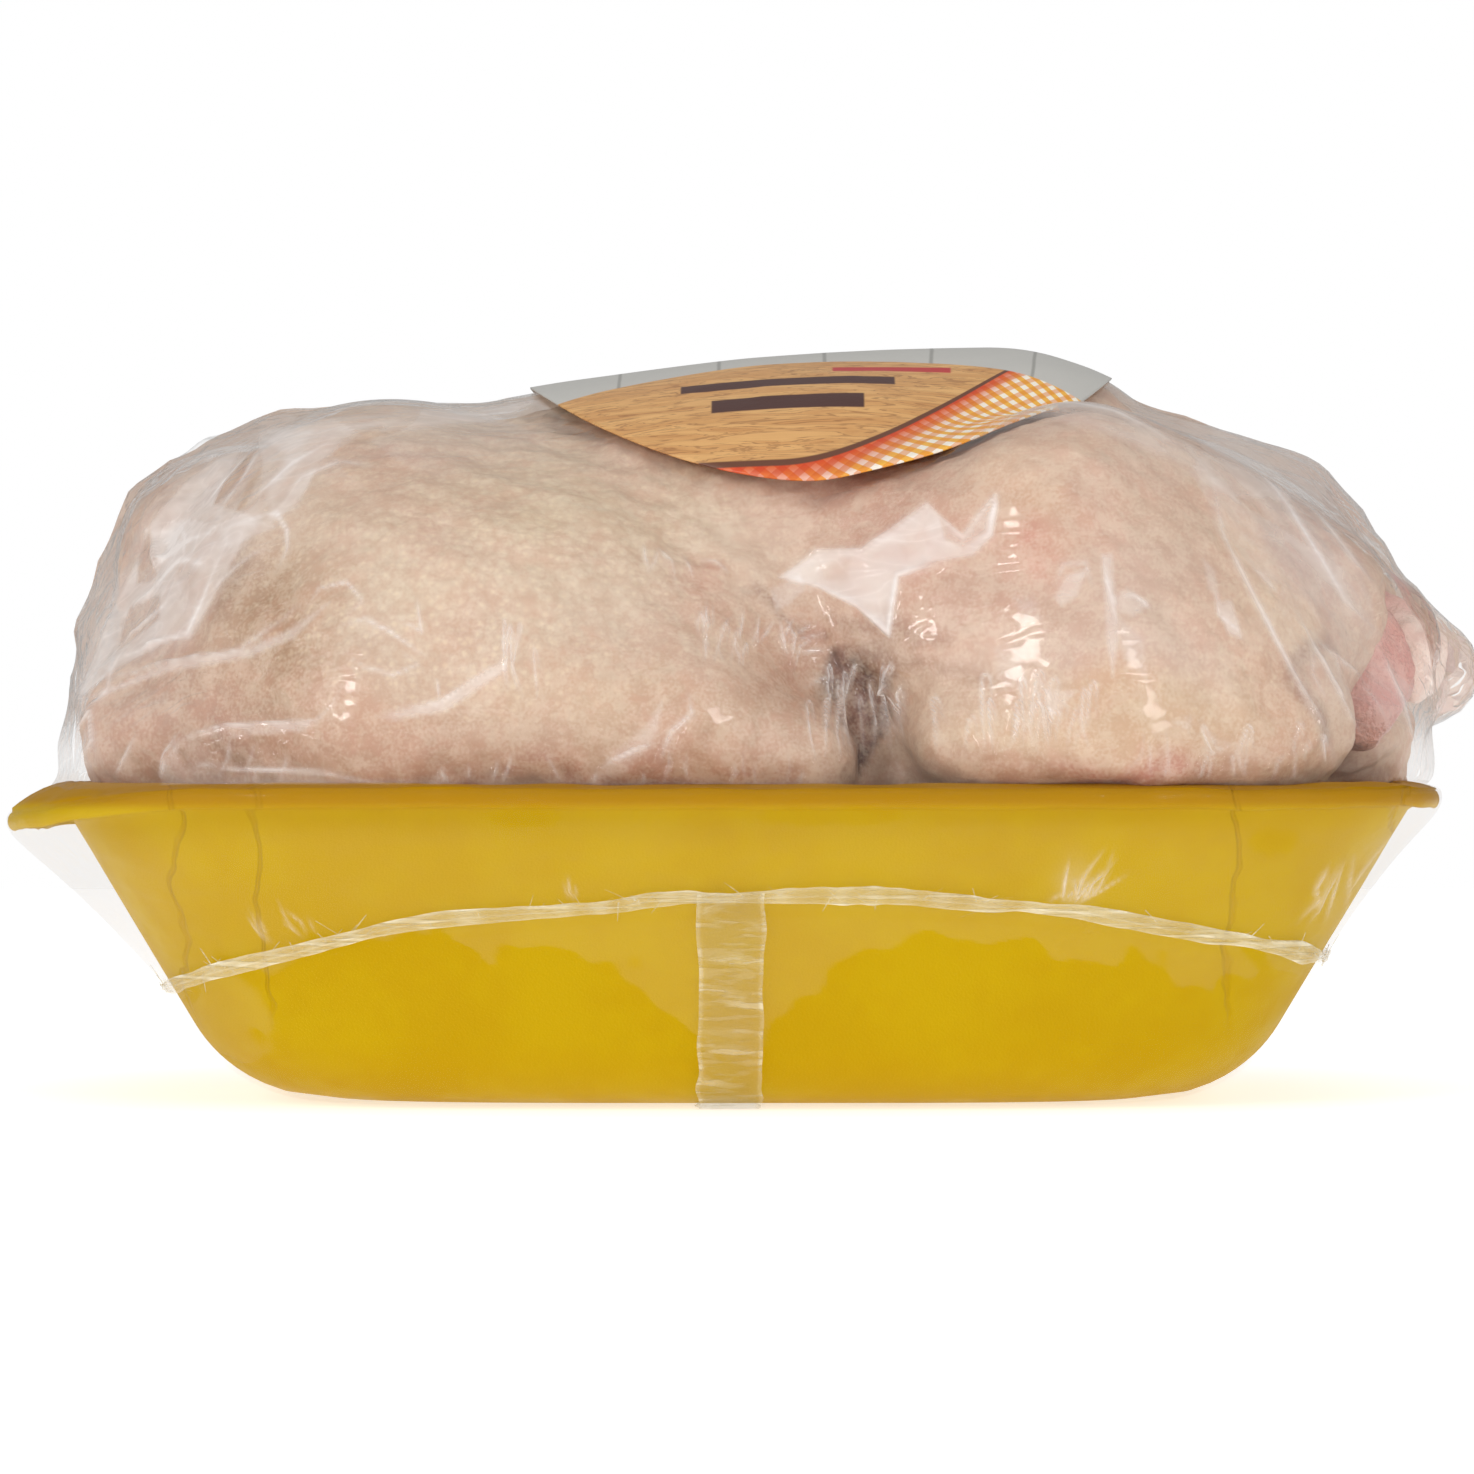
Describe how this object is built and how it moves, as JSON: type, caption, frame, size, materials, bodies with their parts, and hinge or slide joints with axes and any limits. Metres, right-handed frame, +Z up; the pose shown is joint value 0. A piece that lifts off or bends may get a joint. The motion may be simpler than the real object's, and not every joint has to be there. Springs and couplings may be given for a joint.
{
  "type": "whole raw chicken",
  "caption": "Whole raw chicken, breast up, shrink wrapped in clear film on a flared yellow foam tray with a round paper label on top.",
  "frame": {"origin": "middle of the tray's flat foot, on the surface the pack stands on", "axes": "+X along the bird from its neck end to its legs, +Z up; the side shown in the picture faces -Y"},
  "size_m": [0.2727, 0.185, 0.1392],
  "materials": {
    "yellow_foam": "satin yellow expanded foam sheet",
    "wrapped_skin": "pale raw chicken skin under glossy clear film",
    "label_paper": "glossy printed paper, wood-grain tan"
  },
  "bodies": {
    "root": {"tray": "yellow_foam", "wrapped_chicken": "wrapped_skin", "label": "label_paper"}
  },
  "joints": []
}
